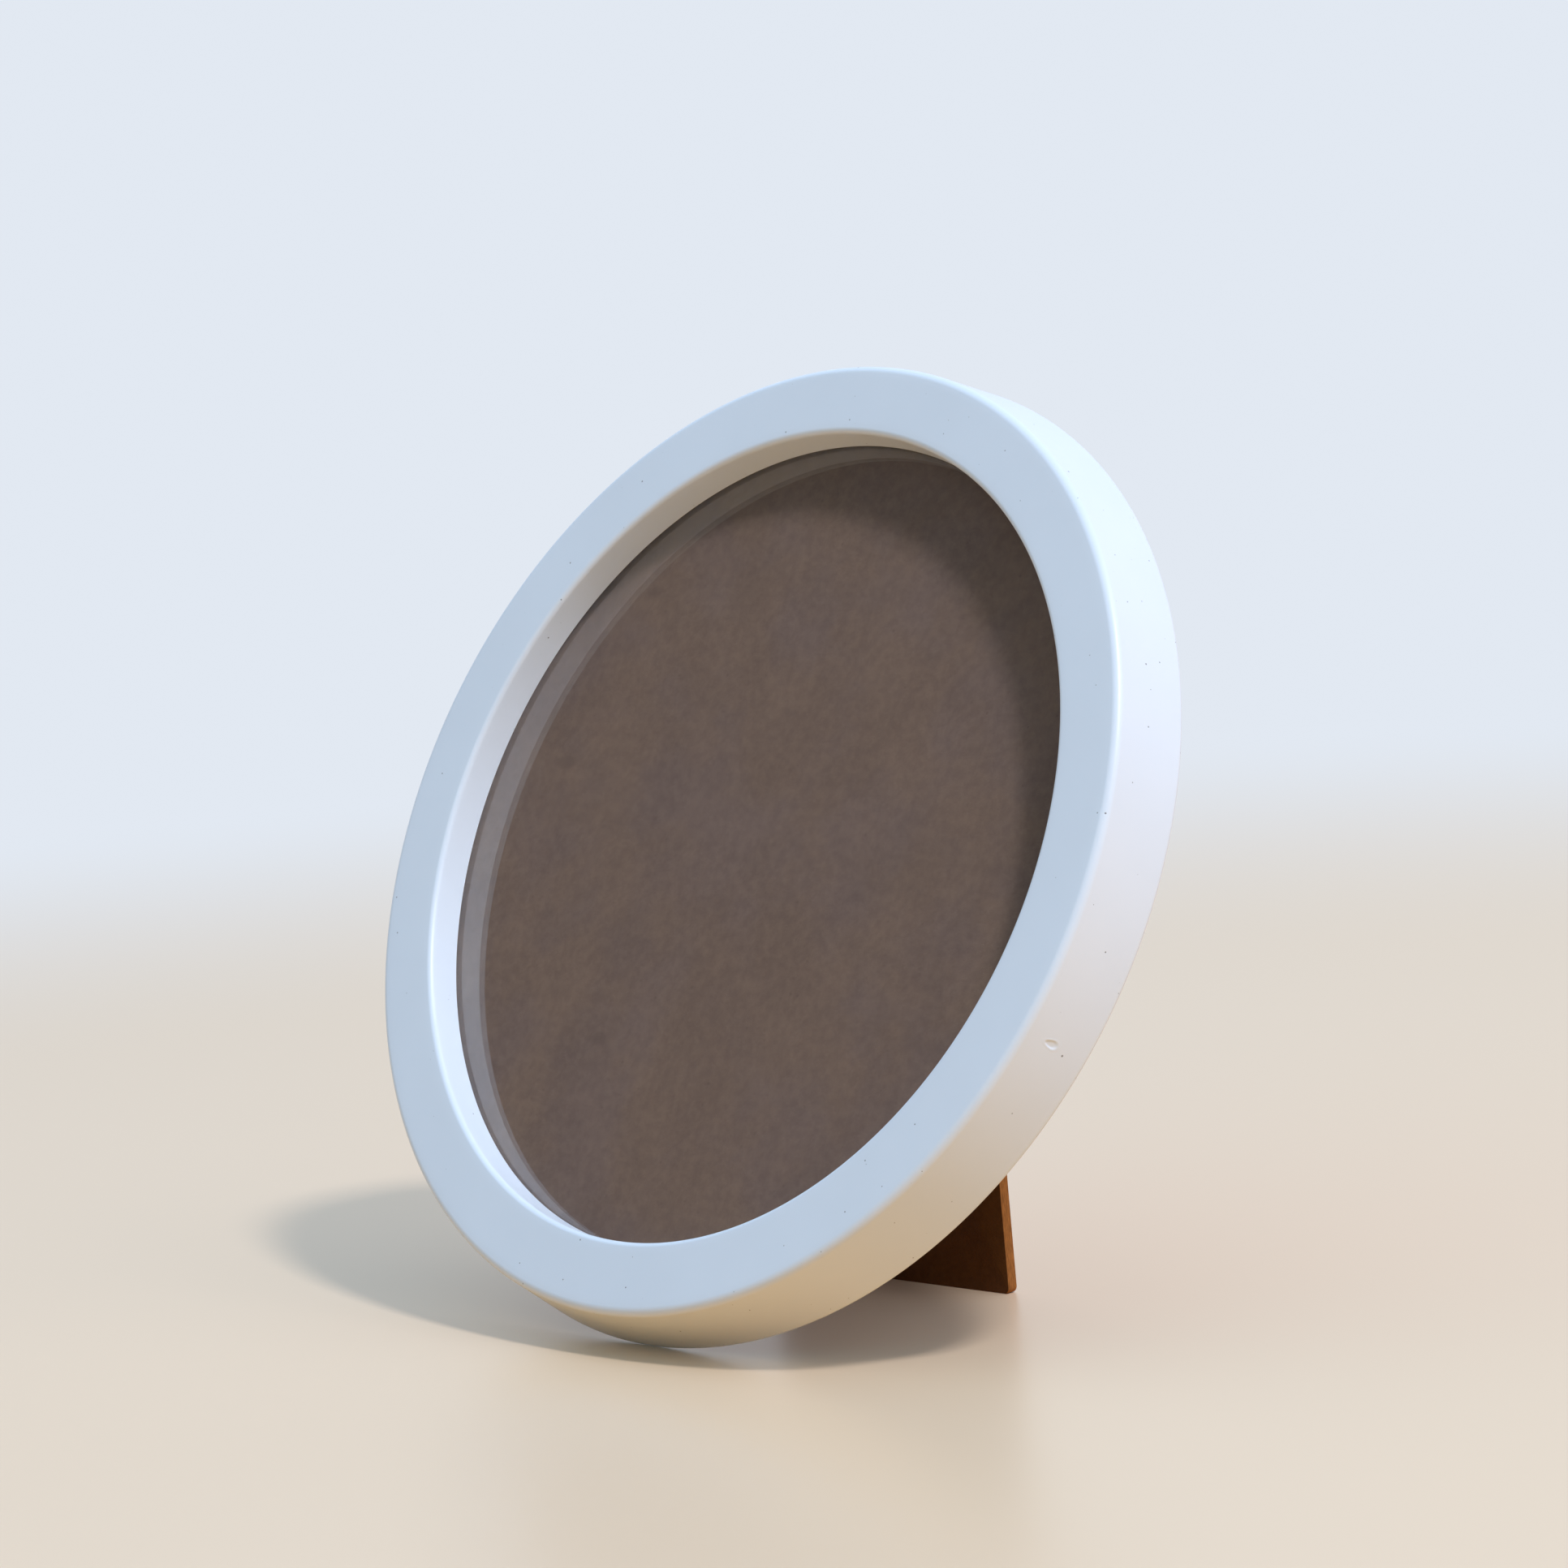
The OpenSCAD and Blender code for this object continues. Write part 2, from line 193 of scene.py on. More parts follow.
class StudioSettings(bpy.types.PropertyGroup):
    """Floor, backdrop, lamps and camera."""

    floor: colour("Floor", "Pale floor", (0.82, 0.595, 0.405))
    bounce: colour("Bounce", "Warmth of the light that the floor throws back", (0.87, 0.48, 0.17))
    backdrop: colour("Backdrop", "Pale backdrop", (0.760, 0.812, 0.887))
    corner: colour("Corner", "Dim corner that the glass mirrors", (0.12, 0.088, 0.066))
    daylight: colour("Daylight", "Cool colour of the lamps", (0.89, 0.93, 1.0))
    room: colour("Room", "Cool colour of the light from the front", (0.28, 0.70, 1.0))
    overhead: colour("Overhead", "Paler light from above and behind", (0.63, 0.765, 1.0))
    horizon: colour("Horizon", "Warm light from low in front", (0.86, 0.56, 0.26))
    sky: FloatProperty(
        name="Room light",
        description="Strength of the soft light from the room",
        default=0.94,
        min=0.0,
    )
    window: FloatProperty(
        name="Window",
        description="Power of the large soft lamp at the right",
        default=26.0,
        min=0.0,
        subtype="POWER",
        unit="POWER",
    )
    ceiling: FloatProperty(
        name="Ceiling",
        description="Power of the lamp above",
        default=137.0,
        min=0.0,
        subtype="POWER",
        unit="POWER",
    )
    lens: FloatProperty(
        name="Lens",
        description="Focal length on a 36 mm sensor",
        default=111.80,
        subtype="DISTANCE_CAMERA",
    )


SETTINGS = {
    "ring": RingSettings,
    "glass": GlassSettings,
    "board": BoardSettings,
    "metal": MetalSettings,
    "studio": StudioSettings,
}


def settings(group):
    """The scene's settings of one group."""
    return getattr(bpy.context.scene.photo_frame, group)


# Surfaces


def in_ring(across, up, depth):
    """Points in the ring's own axes: across, up its leaning plane, and behind the band."""
    across, up, depth = np.broadcast_arrays(across, up, depth)
    return (
        MIDDLE
        + across[..., None] * ACROSS
        + up[..., None] * UPWARD
        + depth[..., None] * TO_BACK
    )


def in_strut(across, up, rear):
    """Points in the open strut's axes: across, up along the strut, and behind the pin."""
    cos, sin = math.cos(OPEN_ANGLE), math.sin(OPEN_ANGLE)
    along = cos * UPWARD - sin * TO_BACK
    behind = sin * UPWARD + cos * TO_BACK
    across, up, rear = np.broadcast_arrays(across, up, rear)
    return (
        PIN
        + across[..., None] * ACROSS
        + up[..., None] * along
        + rear[..., None] * behind
    )


def grid_mesh(name, points, wrap_u=True, wrap_v=False, smooth=35.0):
    """A mesh through a grid of points. Rows join the next row, and the last joins the
    first where wrapped. Doubles at seams and poles merge, and faces point outwards."""
    rows, columns = points.shape[:2]
    index = np.arange(rows * columns).reshape(rows, columns)
    if wrap_u:
        index = np.concatenate([index, index[:1]], axis=0)
    if wrap_v:
        index = np.concatenate([index, index[:, :1]], axis=1)
    quads = np.stack(
        [index[:-1, :-1], index[1:, :-1], index[1:, 1:], index[:-1, 1:]], axis=-1
    ).reshape(-1, 4)
    mesh = bpy.data.meshes.new(name)
    mesh.vertices.add(rows * columns)
    mesh.vertices.foreach_set("co", points.astype(np.float32).ravel())
    mesh.loops.add(quads.size)
    mesh.loops.foreach_set("vertex_index", quads.astype(np.int32).ravel())
    mesh.polygons.add(len(quads))
    mesh.polygons.foreach_set("loop_start", np.arange(0, quads.size, 4, dtype=np.int32))
    mesh.update(calc_edges=True)
    work = bmesh.new()
    work.from_mesh(mesh)
    bmesh.ops.remove_doubles(work, verts=work.verts, dist=1e-7)
    bmesh.ops.dissolve_degenerate(work, edges=work.edges, dist=1e-7)
    bmesh.ops.recalc_face_normals(work, faces=work.faces)
    work.to_mesh(mesh)
    work.free()
    mesh.polygons.foreach_set("use_smooth", np.ones(len(mesh.polygons), bool))
    mesh.set_sharp_from_angle(angle=math.radians(smooth))
    mesh.update()
    thing = bpy.data.objects.new(name, mesh)
    bpy.context.scene.collection.objects.link(thing)
    return thing


def arc(centre, radius, start, end, steps):
    """Points along a circle's arc, angles in degrees, as an array of two columns."""
    angle = np.radians(np.linspace(start, end, steps))
    return np.stack(
        [centre[0] + radius * np.cos(angle), centre[1] + radius * np.sin(angle)], axis=1
    )


def straight(start, end, steps):
    """Evenly spaced points from start to just before end."""
    part = np.linspace(0.0, 1.0, steps, endpoint=False)[:, None]
    return np.array(start) * (1 - part) + np.array(end) * part


def crowded_turn(count, place, crowding):
    """Angles round the circle that lie closer together at one place:
    angle = place + t - crowding * sin(t), with t even from -pi to pi."""
    even = np.linspace(-math.pi, math.pi, count, endpoint=False)
    return place + even - crowding * np.sin(even)


def rounded_outline(corners, radii, steps=9):
    """A closed outline whose corners are circle arcs tangent to both sides."""
    corners = np.array(corners, float)
    parts = []
    for before, corner, after, radius in zip(
        np.roll(corners, 1, axis=0), corners, np.roll(corners, -1, axis=0), radii
    ):
        left = (before - corner) / np.linalg.norm(before - corner)
        right = (after - corner) / np.linalg.norm(after - corner)
        half = math.acos(np.clip(left @ right, -1, 1)) / 2
        middle = corner + (left + right) / np.linalg.norm(left + right) * radius / math.sin(half)
        first = corner + left * radius / math.tan(half) - middle
        last = corner + right * radius / math.tan(half) - middle
        start = math.atan2(first[1], first[0])
        turn = (math.atan2(last[1], last[0]) - start + math.pi) % (2 * math.pi) - math.pi
        angle = start + turn * np.linspace(0, 1, steps)
        parts.append(middle + radius * np.stack([np.cos(angle), np.sin(angle)], axis=1))
    return np.concatenate(parts)


# Nodes of the materials


def node(tree, kind, inputs=None, **values):
    """Adds a node. An input is a number, a colour or another node's output."""
    made = tree.nodes.new(kind)
    for key, value in values.items():
        setattr(made, key, value)
    for key, value in (inputs or {}).items():
        if isinstance(value, bpy.types.NodeSocket):
            tree.links.new(value, made.inputs[key])
        else:
            made.inputs[key].default_value = value
    return made


def calc(tree, operation, *values):
    """The result of a Math node."""
    made = node(tree, "ShaderNodeMath", dict(enumerate(values)), operation=operation)
    return made.outputs[0]


def spread(tree, value, low, high, to_low=0.0, to_high=1.0):
    """A value carried smoothly from one range to another, and held at its ends."""
    made = node(
        tree,
        "ShaderNodeMapRange",
        {0: value, 1: low, 2: high, 3: to_low, 4: to_high},
        interpolation_type="SMOOTHSTEP",
    )
    return made.outputs[0]


def blended(tree, factor, first, second, mode="MIX"):
    """Two colours blended by a factor."""
    made = tree.nodes.new("ShaderNodeMix")
    made.data_type, made.blend_type = "RGBA", mode
    for place, value in ((0, factor), (6, first), (7, second)):
        if isinstance(value, bpy.types.NodeSocket):
            tree.links.new(value, made.inputs[place])
        else:
            made.inputs[place].default_value = value
    return made.outputs[2]


def solid(value):
    """A colour with full opacity."""
    return (*value, 1.0)


def noise(tree, vector, scale, detail=3.0, roughness=0.55):
    """Fractal noise from 0 to 1."""
    made = node(
        tree,
        "ShaderNodeTexNoise",
        {"Vector": vector, "Scale": scale, "Detail": detail, "Roughness": roughness},
    )
    return made.outputs["Fac"]


def new_group(name, inputs, outputs):
    """An empty node group with named sockets, and its two end nodes."""
    tree = bpy.data.node_groups.new(name, "ShaderNodeTree")
    for label, kind, value in inputs:
        socket = tree.interface.new_socket(
            name=label, in_out="INPUT", socket_type="NodeSocket" + kind
        )
        if value is not None:
            socket.default_value = value
    for label, kind in outputs:
        tree.interface.new_socket(
            name=label, in_out="OUTPUT", socket_type="NodeSocket" + kind
        )
    return tree, tree.nodes.new("NodeGroupInput"), tree.nodes.new("NodeGroupOutput")


def finish_group(tree, end, results):
    """Links the results to the group's outputs."""
    for label, value in results.items():
        tree.links.new(value, end.inputs[label])
    return tree


def build_specks():
    """Sparse specks: the nearest points of a cell pattern, few of them kept by a noise."""
    tree, start, end = new_group(
        "Specks",
        [("Vector", "Vector", None), ("Cells", "Float", 250.0), ("Size", "Float", 0.06),
         ("Sparse", "Float", 0.8)],
        [("Mask", "Float")],
    )
    cells = node(
        tree,
        "ShaderNodeTexVoronoi",
        {"Vector": start.outputs["Vector"], "Scale": start.outputs["Cells"]},
        feature="F1",
    )
    lot = node(tree, "ShaderNodeSeparateColor", {"Color": cells.outputs["Color"]})
    kept = calc(tree, "GREATER_THAN", lot.outputs[0], start.outputs["Sparse"])
    size = calc(tree, "MULTIPLY", start.outputs["Size"], lot.outputs[1])
    core = calc(tree, "MULTIPLY", size, 0.45)
    near = spread(tree, cells.outputs["Distance"], size, core)
    return finish_group(tree, end, {"Mask": calc(tree, "MULTIPLY", near, kept)})


def build_waves():
    """Slow waves of a sprayed or rolled surface, with a finer skin on top."""
    tree, start, end = new_group(
        "Surface waves",
        [("Vector", "Vector", None), ("Scale", "Float", 300.0), ("Fine", "Float", 0.3)],
        [("Value", "Float"), ("Height", "Float")],
    )
    slow = noise(tree, start.outputs["Vector"], start.outputs["Scale"], 2.0, 0.5)
    quick_scale = calc(tree, "MULTIPLY", start.outputs["Scale"], 4.3)
    fine = noise(tree, start.outputs["Vector"], quick_scale, 3.0, 0.6)
    height = calc(tree, "MULTIPLY_ADD", fine, start.outputs["Fine"], slow)
    return finish_group(tree, end, {"Value": slow, "Height": height})


def build_fibres():
    """Pressed wood fibre: clouds, a fine mottle and a grain of short felted fibres."""
    tree, start, end = new_group(
        "Pressed fibre",
        [("Vector", "Vector", None), ("Scale", "Float", 260.0), ("Clouds", "Float", 45.0)],
        [("Value", "Float"), ("Height", "Float")],
    )
    vector, scale = start.outputs["Vector"], start.outputs["Scale"]
    clouds = noise(tree, vector, start.outputs["Clouds"], 5.0, 0.6)
    mottle = noise(tree, vector, scale, 4.0, 0.62)
    bent = node(
        tree,
        "ShaderNodeTexNoise",
        {"Vector": vector, "Scale": calc(tree, "MULTIPLY", scale, 3.5), "Detail": 3.0,
         "Roughness": 0.6, "Distortion": 1.6},
    )
    grain = spread(tree, bent.outputs["Fac"], 0.3, 0.7)
    spots = spread(tree, mottle, 0.3, 0.7)
    ground = spread(tree, clouds, 0.3, 0.7)
    value = calc(
        tree, "MULTIPLY_ADD", grain, 0.25,
        calc(tree, "MULTIPLY_ADD", spots, 0.4, calc(tree, "MULTIPLY", ground, 0.35)),
    )
    height = calc(tree, "MULTIPLY_ADD", grain, 0.35, calc(tree, "MULTIPLY", mottle, 0.65))
    return finish_group(tree, end, {"Value": value, "Height": height})


def build_plating():
    """Plated steel: rolling marks along one direction and dull clouds."""
    tree, start, end = new_group(
        "Plating",
        [("Vector", "Vector", None), ("Marks", "Float", 900.0), ("Clouds", "Float", 160.0)],
        [("Dull", "Float"), ("Height", "Float")],
    )
    rolled = node(
        tree,
        "ShaderNodeMapping",
        {"Vector": start.outputs["Vector"], "Scale": (0.05, 1.0, 1.0)},
    )
    marks = noise(tree, rolled.outputs[0], start.outputs["Marks"], 4.0, 0.6)
    clouds = noise(tree, start.outputs["Vector"], start.outputs["Clouds"], 4.0, 0.6)
    dull = calc(
        tree, "MULTIPLY_ADD", spread(tree, marks, 0.4, 0.75), 0.35,
        calc(tree, "MULTIPLY", spread(tree, clouds, 0.35, 0.7), 0.65),
    )
    return finish_group(tree, end, {"Dull": dull, "Height": marks})


GROUPS = {
    "Specks": build_specks,
    "Surface waves": build_waves,
    "Pressed fibre": build_fibres,
    "Plating": build_plating,
}


def group(tree, name, **inputs):
    """A node group placed in a material; the group is built the first time."""
    made = tree.nodes.new("ShaderNodeGroup")
    made.node_tree = bpy.data.node_groups.get(name) or GROUPS[name]()
    for key, value in inputs.items():
        if isinstance(value, bpy.types.NodeSocket):
            tree.links.new(value, made.inputs[key])
        else:
            made.inputs[key].default_value = value
    return made


def new_material(name, **values):
    """A material with its Principled shader set, and that shader."""
    material = bpy.data.materials.new(name)
    material.use_nodes = True
    shader = material.node_tree.nodes["Principled BSDF"]
    for key, value in values.items():
        shader.inputs[key.replace("_", " ")].default_value = value
    return material, material.node_tree, shader


def ring_vector(tree):
    """Object coordinates turned into the ring's plane: X across, Y up, Z to the front."""
    place = node(tree, "ShaderNodeTexCoord").outputs["Object"]
    turned = node(
        tree,
        "ShaderNodeMapping",
        {"Vector": place, "Location": MIDDLE, "Rotation": (math.pi / 2 - LEAN, 0.0, 0.0)},
        vector_type="TEXTURE",
    )
    return turned.outputs[0]


def strut_vector(tree):
    """Object coordinates turned into the open strut: X across, Y up, Z to the front."""
    place = node(tree, "ShaderNodeTexCoord").outputs["Object"]
    turned = node(
        tree,
        "ShaderNodeMapping",
        {
            "Vector": place,
            "Location": PIN,
            "Rotation": (math.pi / 2 - LEAN + OPEN_ANGLE, 0.0, 0.0),
        },
        vector_type="TEXTURE",
    )
    return turned.outputs[0]


def bump(tree, height, distance, strength=1.0):
    """A normal bent by a height; distance is the full height in metres."""
    made = node(
        tree,
        "ShaderNodeBump",
        {"Strength": strength, "Distance": distance, "Height": height},
    )
    return made.outputs["Normal"]


def lacquer_material():
    """Sprayed white satin lacquer, thin over the bare board inside the rabbet."""
    look = settings("ring")
    material, tree, shader = new_material("white lacquer", Roughness=look.gloss)
    vector = ring_vector(tree)
    parts = node(tree, "ShaderNodeSeparateXYZ", {"Vector": vector})
    flat = node(
        tree, "ShaderNodeCombineXYZ", {"X": parts.outputs["X"], "Y": parts.outputs["Y"]}
    )
    radius = node(
        tree, "ShaderNodeVectorMath", {0: flat.outputs[0]}, operation="LENGTH"
    ).outputs["Value"]
    depth = calc(tree, "MULTIPLY", parts.outputs["Z"], -1.0)
    waves = group(tree, "Surface waves", Vector=vector, Scale=420.0, Fine=0.25)
    tone = noise(tree, vector, 28.0, 3.0)
    specks = group(tree, "Specks", Vector=vector, Cells=500.0, Size=0.13, Sparse=0.68)
    ground = blended(
        tree,
        spread(tree, tone, 0.3, 0.7),
        solid([part * 0.975 for part in look.paint]),
        solid(look.paint),
    )
    nick = node(
        tree, "ShaderNodeVectorMath", {0: vector, 1: NICK}, operation="DISTANCE"
    ).outputs["Value"]
    spots = calc(
        tree,
        "MAXIMUM",
        calc(tree, "MULTIPLY", specks.outputs["Mask"], 0.8),
        spread(tree, nick, 0.32 * MM, 0.1 * MM, 0.0, 0.85),
    )
    marked = blended(tree, spots, ground, solid(look.speck))
    # Behind the lip and inside the skirt the spray only dusts the bare board
    inside = calc(
        tree,
        "MULTIPLY",
        calc(tree, "GREATER_THAN", depth, look.recess - 0.02 * MM),
        calc(tree, "LESS_THAN", radius, look.skirt - 0.02 * MM),
    )
    dusting = noise(tree, vector, 1600.0, 4.0, 0.7)
    drift = noise(tree, vector, 45.0, 2.0)
    outward = spread(tree, radius, look.seat, look.skirt, 0.0, 0.16)
    behind = spread(tree, depth, LEDGE_DEPTH, look.depth, 0.0, 0.55)
    mist = calc(
        tree, "ADD", calc(tree, "ADD", outward, behind),
        calc(tree, "MULTIPLY_ADD", drift, 0.35, calc(tree, "MULTIPLY", dusting, 0.6)),
    )
    cover = spread(tree, mist, 0.38, 0.85)
    fibre = group(tree, "Pressed fibre", Vector=vector, Scale=700.0, Clouds=120.0)
    bare = blended(
        tree,
        fibre.outputs["Value"],
        solid([part * 0.75 for part in look.bare]),
        solid(look.bare),
    )
    thin = blended(tree, cover, bare, solid([part * 0.86 for part in look.paint]))
    tree.links.new(blended(tree, inside, marked, thin), shader.inputs["Base Color"])
    satin = spread(tree, waves.outputs["Value"], 0.25, 0.75, look.gloss - 0.03, look.gloss + 0.05)
    matt = calc(tree, "MULTIPLY_ADD", inside, 0.4, satin)
    tree.links.new(matt, shader.inputs["Roughness"])
    height = calc(
        tree,
        "MULTIPLY_ADD",
        specks.outputs["Mask"],
        -0.6,
        calc(tree, "MULTIPLY", waves.outputs["Height"], 0.25),
    )
    tree.links.new(bump(tree, height, 0.045 * MM), shader.inputs["Normal"])
    return material


def glass_material():
    """Clear float glass with faint wiping marks; light passes it in shadows."""
    look = settings("glass")
    material, tree, shader = new_material(
        "clear glass",
        Base_Color=solid(look.tint),
        Metallic=0.0,
        Transmission_Weight=1.0,
        IOR=look.index,
    )
    vector = ring_vector(tree)
    wiped = node(
        tree,
        "ShaderNodeMapping",
        {"Vector": vector, "Rotation": (0.0, 0.0, 0.7), "Scale": (0.15, 1.0, 1.0)},
    )
    smear = group(tree, "Surface waves", Vector=wiped.outputs[0], Scale=70.0, Fine=0.4)
    dust = group(tree, "Specks", Vector=vector, Cells=120.0, Size=0.03, Sparse=0.9)
    film = spread(tree, smear.outputs["Height"], 0.45, 0.95, 0.0, 0.035)
    rough = calc(tree, "MULTIPLY_ADD", dust.outputs["Mask"], 0.25, film)
    tree.links.new(rough, shader.inputs["Roughness"])
    passing = node(
        tree, "ShaderNodeBsdfTransparent", {"Color": (look.clear,) * 3 + (1.0,)}
    )
    light = node(tree, "ShaderNodeLightPath")
    mixed = node(
        tree,
        "ShaderNodeMixShader",
        {0: light.outputs["Is Shadow Ray"], 1: shader.outputs[0], 2: passing.outputs[0]},
    )
    tree.links.new(mixed.outputs[0], tree.nodes["Material Output"].inputs["Surface"])
    return material


def hardboard_material(name, face, dark, vector_of, half, cut, shine=0.5):
    """Pressed hardboard: mottled fibre faces and, past half its thickness, a cut edge."""
    material, tree, shader = new_material(name, Roughness=0.5, Specular_IOR_Level=shine)
    vector = vector_of(tree)
    fibre = group(tree, "Pressed fibre", Vector=vector, Scale=420.0, Clouds=55.0)
    pits = group(tree, "Specks", Vector=vector, Cells=420.0, Size=0.2, Sparse=0.72)
    felted = blended(tree, fibre.outputs["Value"], solid(dark), solid(face))
    cool = blended(tree, 1.0, felted, (0.955, 0.97, 1.045, 1.0), "MULTIPLY")
    warm = blended(tree, 1.0, felted, (1.018, 1.0, 0.962, 1.0), "MULTIPLY")
    bloom = spread(tree, noise(tree, vector, 40.0, 4.0, 0.55), 0.38, 0.64)
    ground = blended(tree, bloom, warm, cool)
    stroke = node(
        tree,
        "ShaderNodeMapping",
        {"Vector": vector, "Rotation": (0.0, 0.0, 0.9), "Scale": (0.4, 1.0, 1.0)},
    )
    smudges = group(
        tree, "Specks", Vector=stroke.outputs[0], Cells=110.0, Size=0.22, Sparse=0.8
    )
    marks = calc(
        tree, "MAXIMUM",
        calc(tree, "MULTIPLY", pits.outputs["Mask"], 0.35),
        calc(tree, "MULTIPLY", smudges.outputs["Mask"], 0.25),
    )
    marked = blended(tree, marks, ground, solid([part * 0.5 for part in dark]))
    layers = node(tree, "ShaderNodeMapping", {"Vector": vector, "Scale": (1.0, 1.0, 9.0)})
    strands = noise(tree, layers.outputs[0], 500.0, 5.0, 0.65)
    torn = blended(
        tree, spread(tree, strands, 0.3, 0.7), solid([part * 0.5 for part in cut]), solid(cut)
    )
    across = node(tree, "ShaderNodeSeparateXYZ", {"Vector": vector}).outputs["Z"]
    centre, reach = half
    off = calc(tree, "ABSOLUTE", calc(tree, "SUBTRACT", across, centre))
    edge = spread(tree, off, reach, reach - 0.12 * MM)
    surface = blended(tree, edge, marked, torn)
    smooth = spread(tree, fibre.outputs["Value"], 0.1, 0.9, 0.58, 0.44)
    rough = calc(tree, "MULTIPLY_ADD", edge, 0.3, smooth)
    tree.links.new(surface, shader.inputs["Base Color"])
    tree.links.new(rough, shader.inputs["Roughness"])
    height = calc(
        tree, "MULTIPLY_ADD", pits.outputs["Mask"], -0.5, fibre.outputs["Height"]
    )
    tree.links.new(bump(tree, height, 0.035 * MM), shader.inputs["Normal"])
    return material


def metal_material(name, bright, dull, vector_of, rough=0.3):
    """Zinc-plated steel with rolling marks, dull clouds and dirt specks."""
    material, tree, shader = new_material(name, Metallic=1.0, Roughness=rough)
    vector = vector_of(tree)
    plating = group(tree, "Plating", Vector=vector, Marks=1500.0, Clouds=260.0)
    dirt = group(tree, "Specks", Vector=vector, Cells=900.0, Size=0.25, Sparse=0.8)
    base = blended(tree, plating.outputs["Dull"], solid(bright), solid(dull))
    soiled = blended(
        tree,
        calc(tree, "MULTIPLY", dirt.outputs["Mask"], 0.6),
        base,
        solid(settings("metal").soot),
    )
    tree.links.new(soiled, shader.inputs["Base Color"])
    tree.links.new(
        spread(tree, plating.outputs["Dull"], 0.0, 1.0, rough - 0.05, rough + 0.17),
        shader.inputs["Roughness"],
    )
    tree.links.new(
        bump(tree, plating.outputs["Height"], 0.012 * MM), shader.inputs["Normal"]
    )
    return material


# Pieces


def placed(piece, material, body, slot, *nodes):
    """Gives a new piece its finish, its body and the nodes that it stands for."""
    piece.data.materials.clear()
    piece.data.materials.append(material)
    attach(piece, body)
    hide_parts(*nodes)
    return piece


def softened(name, cad_node, width):
    """A copy of a CAD node with its doubles merged and its stamped edges broken."""
    mesh = frame["nodes"][cad_node].data.copy()
    mesh.name = name
    work = bmesh.new()
    work.from_mesh(mesh)
    bmesh.ops.remove_doubles(work, verts=work.verts, dist=2e-6)
    bmesh.ops.dissolve_limit(
        work,
        angle_limit=math.radians(1.5),
        verts=work.verts,
        edges=work.edges,
    )
    bmesh.ops.recalc_face_normals(work, faces=work.faces)
    work.to_mesh(mesh)
    work.free()
    mesh.polygons.foreach_set("use_smooth", np.ones(len(mesh.polygons), bool))
    mesh.set_sharp_from_angle(angle=math.radians(32))
    piece = bpy.data.objects.new(name, mesh)
    bpy.context.scene.collection.objects.link(piece)
    edges = piece.modifiers.new("edges", "BEVEL")
    edges.width = width
    edges.segments = 2
    edges.limit_method = "ANGLE"
    edges.angle_limit = math.radians(38)
    edges.use_clamp_overlap = True
    edges.harden_normals = True
    return piece


class PHOTOFRAME_OT_ring(bpy.types.Operator):
    """Build the white ring"""

    bl_idname = "photo_frame.ring"
    bl_label = "Ring"

    def execute(self, context):
        """The ring is its section carried round its axis: at angle a and section point
        (r, d) it is (r cos a, r sin a) in the plane and d behind the band. The dent is a
        hollow bell with a raised lip, taken off the radius where it lies."""
        size = settings("ring")
        ledge = LEDGE_DEPTH
        outer, inner, rim = size.outer_round, size.inner_round, size.rim_round
        bevel = size.skirt_chamfer
        section = np.concatenate(
            [
                straight((size.opening, size.recess), (size.opening, inner), 7),
                arc((size.opening + inner, inner), inner, 180, 270, 9),
                straight((size.opening + inner, 0), (size.face - outer, 0), 9)[1:],
                arc((size.face - outer, outer), outer, 270, 360, 11),
                self.wall(size),
                arc((size.rim - rim, size.depth - rim), rim, 0, 90, 9),
                straight((size.rim - rim, size.depth), (size.skirt + bevel, size.depth), 4)[1:],
                straight((size.skirt + bevel, size.depth), (size.skirt, size.depth - bevel), 2),
                straight((size.skirt, size.depth - bevel), (size.skirt, ledge), 4),
                straight((size.skirt, ledge), (size.seat, ledge), 4),
                straight((size.seat, ledge), (size.seat, size.recess), 3),
                straight((size.seat, size.recess), (size.opening, size.recess), 3),
            ]
        )
        angle = crowded_turn(800, DENT_ANGLE, 0.86)[:, None]
        radius, depth = section[None, :, 0], section[None, :, 1]
        long_way = (depth - DENT_DEPTH) / size.dent_length
        short_way = (angle - DENT_ANGLE) * size.rim / size.dent_width
        away = np.sqrt(long_way**2 + short_way**2 * (1 - 0.4 * np.tanh(2 * long_way)))
        side = np.minimum((away - 0.8) * 12, 50)
        bowl = 1 / (1 + np.exp(side)) * (0.8 - 0.25 * short_way)
        lip = np.exp(-(((away - 1.12) / 0.2) ** 2))
        on_wall = radius > size.face - 0.1 * MM
        radius = radius - size.dent_depth * (bowl - 0.16 * lip) * on_wall
        points = in_ring(radius * np.cos(angle), radius * np.sin(angle), depth)
        piece = grid_mesh("turned_ring", points, wrap_u=True, wrap_v=True)
        placed(piece, lacquer_material(), "frame", "white_lacquer", "ring_frame")
        return {"FINISHED"}

    def wall(self, size):
        """Points down the flared outer wall, closer together by the dent: with t even
        from -1 to 1 the depth is dent + 9 mm * (0.16 t + 0.84 t cubed), and the radius
        grows evenly with the depth."""
        even = np.linspace(-1.0, 1.0, 62)
        near = DENT_DEPTH + 9.0 * MM * (0.16 * even + 0.84 * even**3)
        start, stop = size.outer_round, size.depth - size.rim_round
        depth = near[(near > start + 0.2 * MM) & (near < stop - 0.2 * MM)]
        share_back = (depth - start) / (stop - start)
        radius = size.face + (size.rim - size.face) * share_back
        return np.stack([radius, depth], axis=1)


